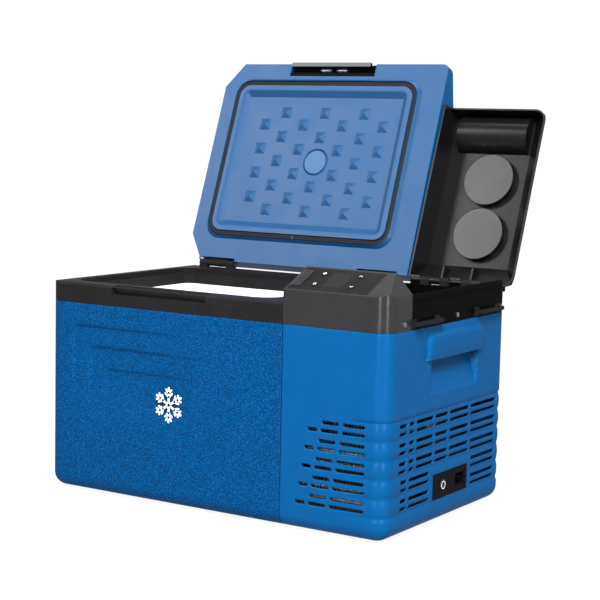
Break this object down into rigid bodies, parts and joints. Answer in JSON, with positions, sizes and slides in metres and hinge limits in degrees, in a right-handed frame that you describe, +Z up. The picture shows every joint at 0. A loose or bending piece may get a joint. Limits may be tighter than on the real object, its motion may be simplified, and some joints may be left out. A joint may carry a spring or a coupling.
{
  "type": "compressor cooler fridge",
  "caption": "Portable compressor cooler with an insulated tub, a vented machine bay, a sloped control console, a gasketed back-hinged lid and a tray lid with cup wells.",
  "frame": {"origin": "under the middle of the space that the cabinet and its open lids take up, at the floor", "axes": "+X along the length towards the machine bay, +Y from the front to the hinged back, +Z up"},
  "size_m": [0.5908, 0.4848, 0.6393],
  "materials": {
    "textured_blue": "coarse grain",
    "smooth_blue": "satin",
    "lid_blue": "fine grain",
    "black_plastic": "fine grain",
    "black_gloss": "gloss",
    "dark_grey": "satin",
    "white_liner": "satin",
    "foam": "rigid foam",
    "rubber": "matte",
    "gasket": "matte",
    "steel": "zinc plated",
    "black_metal": "semi-gloss paint",
    "aluminium": "mill finish",
    "copper": "drawn tube",
    "pins": "plated",
    "board": "solder mask"
  },
  "bodies": {
    "cabinet": {"tub_housing": "textured_blue", "machine_housing": "smooth_blue", "service_plate": "steel", "feet": "rubber", "bulkhead": "black_plastic", "inner_liner": "white_liner", "foam_jacket": "foam", "evaporator_sheet": "aluminium", "evaporator_coil": "copper", "tub_rim": "black_plastic", "deck_frame": "black_plastic", "console_cover": "black_plastic", "control_fascia": "dark_grey", "display_window": "black_gloss", "keypad_mat": "rubber", "display_board": "board", "usb_socket": "steel", "compressor": "black_metal", "compressor_plate": "steel", "rubber_bushes": "rubber", "compressor_bolts": "steel", "condenser": "aluminium", "fan_frame": "black_plastic", "control_board": "board", "filter_drier": "copper", "suction_line": "copper", "discharge_line": "copper", "capillary_tube": "copper", "temperature_probe": "steel", "power_panel": "black_gloss", "dc_socket": "black_gloss", "socket_pins": "pins", "fuse_holder": "black_plastic", "strap_loops": "black_plastic", "rim_screws": "steel", "hinge_brackets": "black_plastic", "hinge_pins": "steel"},
    "main_lid": {"lid_shell": "smooth_blue", "lid_liner": "lid_blue", "lid_foam": "foam", "lid_gasket": "gasket", "lid_hinge_leaves": "black_plastic", "hinge_screws": "steel", "latch_pin": "steel", "latch_spring": "steel"},
    "latch": {"latch_handle": "dark_grey"},
    "tray_lid": {"tray_lid": "black_plastic", "tray_hinge_leaves": "black_plastic"},
    "power_key": {"power_button": "dark_grey"},
    "set_key": {"set_button": "dark_grey"},
    "up_key": {"up_button": "dark_grey"},
    "down_key": {"down_button": "dark_grey"},
    "port_flap": {"usb_cover": "rubber"},
    "fan_wheel": {"fan_rotor": "dark_grey"},
    "fuse_plug": {"fuse_cap": "dark_grey"}
  },
  "joints": [
    {"name": "lid_hinge", "type": "hinge", "parent": "cabinet", "child": "main_lid", "pos_m": [0, 0.10065, 0.3135], "axis": [1, 0, 0], "range_deg": [0, 110]},
    {"name": "latch_pivot", "type": "hinge", "parent": "main_lid", "child": "latch", "pos_m": [-0.086, 0.21723, 0.6265], "axis": [1, 0, 0], "range_deg": [0, 15], "stiffness_Nm_per_rad": 0.6},
    {"name": "tray_hinge", "type": "hinge", "parent": "cabinet", "child": "tray_lid", "pos_m": [0.2, 0.10065, 0.3135], "axis": [1, 0, 0], "range_deg": [0, 111]},
    {"name": "power_press", "type": "slide", "parent": "cabinet", "child": "power_key", "axis": [0, 0.4156, -0.9096], "range_m": [0, 0.0008], "stiffness_N_per_m": 400},
    {"name": "set_press", "type": "slide", "parent": "cabinet", "child": "set_key", "axis": [0, 0.4156, -0.9096], "range_m": [0, 0.0008], "stiffness_N_per_m": 400},
    {"name": "up_press", "type": "slide", "parent": "cabinet", "child": "up_key", "axis": [0, 0.4156, -0.9096], "range_m": [0, 0.0008], "stiffness_N_per_m": 400},
    {"name": "down_press", "type": "slide", "parent": "cabinet", "child": "down_key", "axis": [0, 0.4156, -0.9096], "range_m": [0, 0.0008], "stiffness_N_per_m": 400},
    {"name": "port_flap_hinge", "type": "hinge", "parent": "cabinet", "child": "port_flap", "pos_m": [0.136, -0.19742, 0.34646], "axis": [-1, 0, 0], "range_deg": [0, 90]},
    {"name": "fan_spin", "type": "hinge", "parent": "cabinet", "child": "fan_wheel", "pos_m": [0.2, -0.18235, 0.096], "axis": [0, 1, 0], "continuous": true},
    {"name": "fuse_turn", "type": "hinge", "parent": "cabinet", "child": "fuse_plug", "pos_m": [0.285, -0.08135, 0.0545], "axis": [1, 0, 0], "range_deg": [0, 90]}
  ]
}
